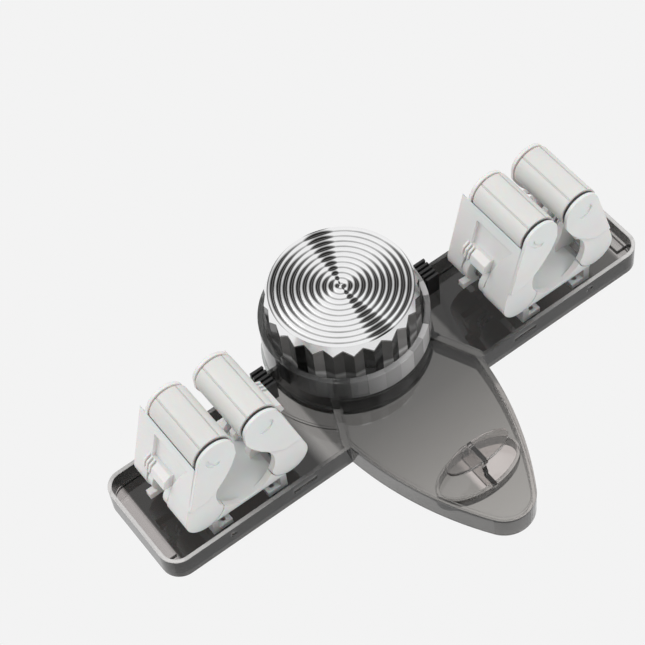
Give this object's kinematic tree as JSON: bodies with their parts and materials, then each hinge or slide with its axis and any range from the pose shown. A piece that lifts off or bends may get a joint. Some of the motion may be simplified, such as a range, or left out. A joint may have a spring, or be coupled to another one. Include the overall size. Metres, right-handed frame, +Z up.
{
  "type": "wall mop holder rack",
  "caption": "Wall rack with a twist-lock suction base, sprung roller clips on side arms and a hook on a pointed tongue.",
  "frame": {"origin": "centre of the suction cup's face, on the wall plane", "axes": "+X along the arms to the right as seen from the room, +Y into the wall, +Z up; the tongue points to -Z"},
  "size_m": [0.235, 0.0645, 0.1474],
  "materials": {
    "smoke_body": "smoke grey translucent moulded plastic, glossy",
    "smoke_hook": "smoke grey translucent plastic",
    "black_block": "near-black moulded plastic",
    "smoke_knob": "dark smoke translucent plastic, glossy",
    "turned_face": "metal disc with turned rings",
    "clip_white": "white moulded plastic",
    "roller_white": "soft white roller",
    "steel": "plain steel",
    "brass": "plain brass",
    "clear_rubber": "clear soft suction cup"
  },
  "bodies": {
    "rack": {"body_shell": "smoke_body", "side_block_left": "black_block", "side_block_right": "black_block", "utility_hook": "smoke_hook", "clip_screws": "steel", "suction_cup": "clear_rubber", "thrust_washer": "steel", "clip_base_left": "clip_white", "clip_base_right": "clip_white", "jaw_pin_left_outer": "steel", "jaw_spring_left_outer": "steel", "jaw_pin_left_inner": "steel", "jaw_spring_left_inner": "steel", "jaw_pin_right_inner": "steel", "jaw_spring_right_inner": "steel", "jaw_pin_right_outer": "steel", "jaw_spring_right_outer": "steel"},
    "lock_stud": {"stud": "steel", "stud_locknut": "brass"},
    "knob": {"knob_body": "smoke_knob", "knob_cap": "turned_face", "knob_nut": "brass"},
    "jaw_left_outer": {"jaw_left_outer": "clip_white", "roller_pin_left_outer": "steel"},
    "roller_left_outer": {"roller_left_outer": "roller_white"},
    "jaw_left_inner": {"jaw_left_inner": "clip_white", "roller_pin_left_inner": "steel"},
    "roller_left_inner": {"roller_left_inner": "roller_white"},
    "jaw_right_inner": {"jaw_right_inner": "clip_white", "roller_pin_right_inner": "steel"},
    "roller_right_inner": {"roller_right_inner": "roller_white"},
    "jaw_right_outer": {"jaw_right_outer": "clip_white", "roller_pin_right_outer": "steel"},
    "roller_right_outer": {"roller_right_outer": "roller_white"}
  },
  "joints": [
    {"name": "knob_turn", "type": "hinge", "parent": "rack", "child": "knob", "pos_m": [0, -0.022, 0], "axis": [0, 1, 0], "range_deg": [0, 180]},
    {"name": "stud_pull", "type": "slide", "parent": "rack", "child": "lock_stud", "axis": [0, -1, 0], "range_m": [0, 0.003], "deforming": ["suction_cup"]},
    {"name": "jaw_left_outer_open", "type": "hinge", "parent": "rack", "child": "jaw_left_outer", "pos_m": [-0.0964, -0.0215, -0.02395], "axis": [0, 0, -1], "range_deg": [0, 20], "stiffness_Nm_per_rad": 0.6, "springref_deg": -12, "deforming": ["jaw_spring_left_outer"]},
    {"name": "roller_left_outer_spin", "type": "hinge", "parent": "jaw_left_outer", "child": "roller_left_outer", "pos_m": [-0.0871, -0.0559, -0.02395], "axis": [0, 0, 1], "continuous": true},
    {"name": "jaw_left_inner_open", "type": "hinge", "parent": "rack", "child": "jaw_left_inner", "pos_m": [-0.057, -0.0215, -0.02395], "axis": [0, 0, 1], "range_deg": [0, 20], "stiffness_Nm_per_rad": 0.6, "springref_deg": -12, "deforming": ["jaw_spring_left_inner"]},
    {"name": "roller_left_inner_spin", "type": "hinge", "parent": "jaw_left_inner", "child": "roller_left_inner", "pos_m": [-0.0663, -0.0559, -0.02395], "axis": [0, 0, 1], "continuous": true},
    {"name": "jaw_right_inner_open", "type": "hinge", "parent": "rack", "child": "jaw_right_inner", "pos_m": [0.057, -0.0215, -0.02395], "axis": [0, 0, -1], "range_deg": [0, 20], "stiffness_Nm_per_rad": 0.6, "springref_deg": -12, "deforming": ["jaw_spring_right_inner"]},
    {"name": "roller_right_inner_spin", "type": "hinge", "parent": "jaw_right_inner", "child": "roller_right_inner", "pos_m": [0.0663, -0.0559, -0.02395], "axis": [0, 0, 1], "continuous": true},
    {"name": "jaw_right_outer_open", "type": "hinge", "parent": "rack", "child": "jaw_right_outer", "pos_m": [0.0964, -0.0215, -0.02395], "axis": [0, 0, 1], "range_deg": [0, 20], "stiffness_Nm_per_rad": 0.6, "springref_deg": -12, "deforming": ["jaw_spring_right_outer"]},
    {"name": "roller_right_outer_spin", "type": "hinge", "parent": "jaw_right_outer", "child": "roller_right_outer", "pos_m": [0.0871, -0.0559, -0.02395], "axis": [0, 0, 1], "continuous": true}
  ],
  "couplings": [
    {"joint": "stud_pull", "follows": "knob_turn", "m_per_rad": 0.00095493}
  ]
}
